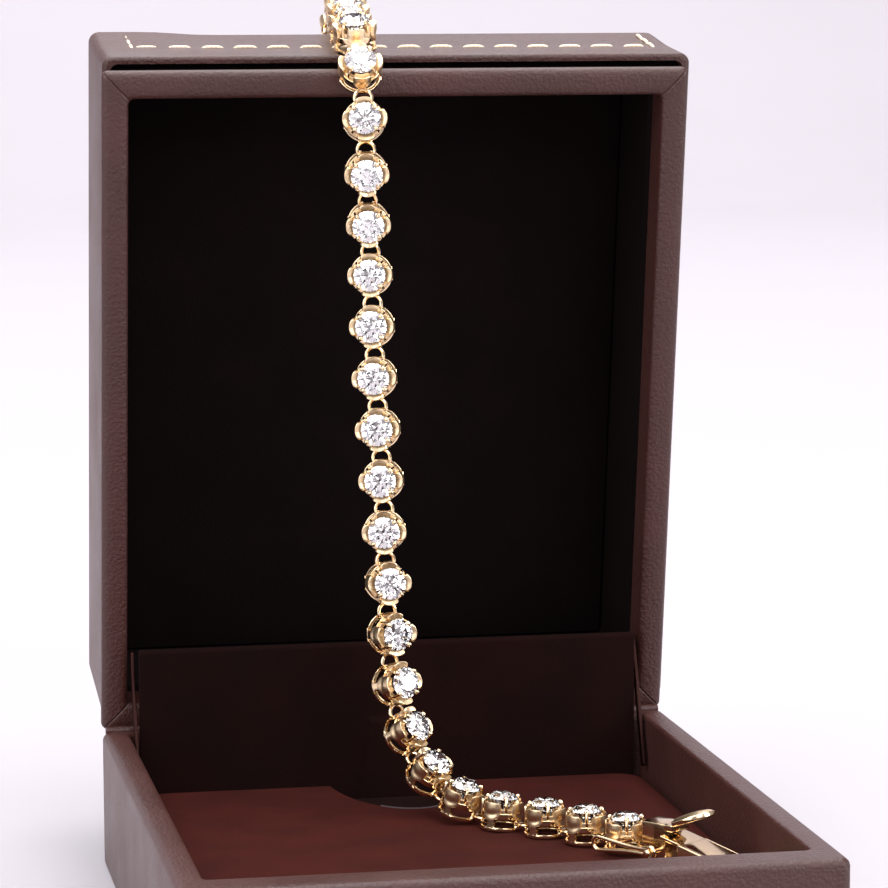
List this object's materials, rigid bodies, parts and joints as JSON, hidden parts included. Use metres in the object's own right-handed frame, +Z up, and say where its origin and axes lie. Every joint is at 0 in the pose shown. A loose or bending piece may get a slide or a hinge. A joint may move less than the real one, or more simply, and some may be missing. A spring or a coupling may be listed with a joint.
{
  "type": "tennis bracelet in an open presentation box",
  "caption": "Bracelet of round stones in linked petal settings, draped unfastened over an open lined box, with a hinged thumb lever and a swinging safety catch on its box clasp.",
  "frame": {"origin": "middle of the box's underside, on the surface it stands on", "axes": "+Z up, +X to the right of someone facing the open box, -Y towards them, the lid stands at the +Y side"},
  "size_m": [0.0612, 0.0892, 0.0907],
  "materials": {
    "gold": "polished yellow gold with colourless cut stones",
    "leatherette": "semi-gloss fine grain, dark brown",
    "pad_velvet": "short-pile velvet, dark red-brown",
    "lining_velvet": "short-pile velvet, near black",
    "steel": "browned sprung strip"
  },
  "bodies": {
    "box_and_bracelet": {"link_01": "gold", "link_02": "gold", "link_03": "gold", "link_04": "gold", "link_05": "gold", "link_06": "gold", "link_07": "gold", "link_08": "gold", "link_09": "gold", "link_10": "gold", "link_11": "gold", "link_12": "gold", "link_13": "gold", "link_14": "gold", "link_15": "gold", "link_16": "gold", "link_17": "gold", "link_18": "gold", "link_19": "gold", "link_20": "gold", "link_21": "gold", "link_22": "gold", "link_23": "gold", "link_24": "gold", "link_25": "gold", "link_26": "gold", "link_27": "gold", "link_28": "gold", "link_29": "gold", "link_30": "gold", "link_31": "gold", "link_32": "gold", "clasp_case": "gold", "clasp_tongue": "gold", "box_tray": "leatherette", "lid_shell": "leatherette", "lid_frame": "leatherette", "box_pad": "pad_velvet", "hinge_cover": "pad_velvet", "lid_lining": "lining_velvet", "hinge_strap_left": "steel", "hinge_strap_right": "steel"},
    "lever": {"clasp_lever": "gold"},
    "catch": {"safety_catch": "gold"}
  },
  "joints": [
    {"name": "lever_hinge", "type": "hinge", "parent": "box_and_bracelet", "child": "lever", "pos_m": [0.02032, -0.01064, 0.01189], "axis": [-0.7927, -0.6096, 0.0066], "range_deg": [-38, 50]},
    {"name": "catch_hinge", "type": "hinge", "parent": "box_and_bracelet", "child": "catch", "pos_m": [0.01733, -0.01139, 0.00958], "axis": [0.7927, 0.6096, -0.0066], "range_deg": [0, 180]}
  ]
}
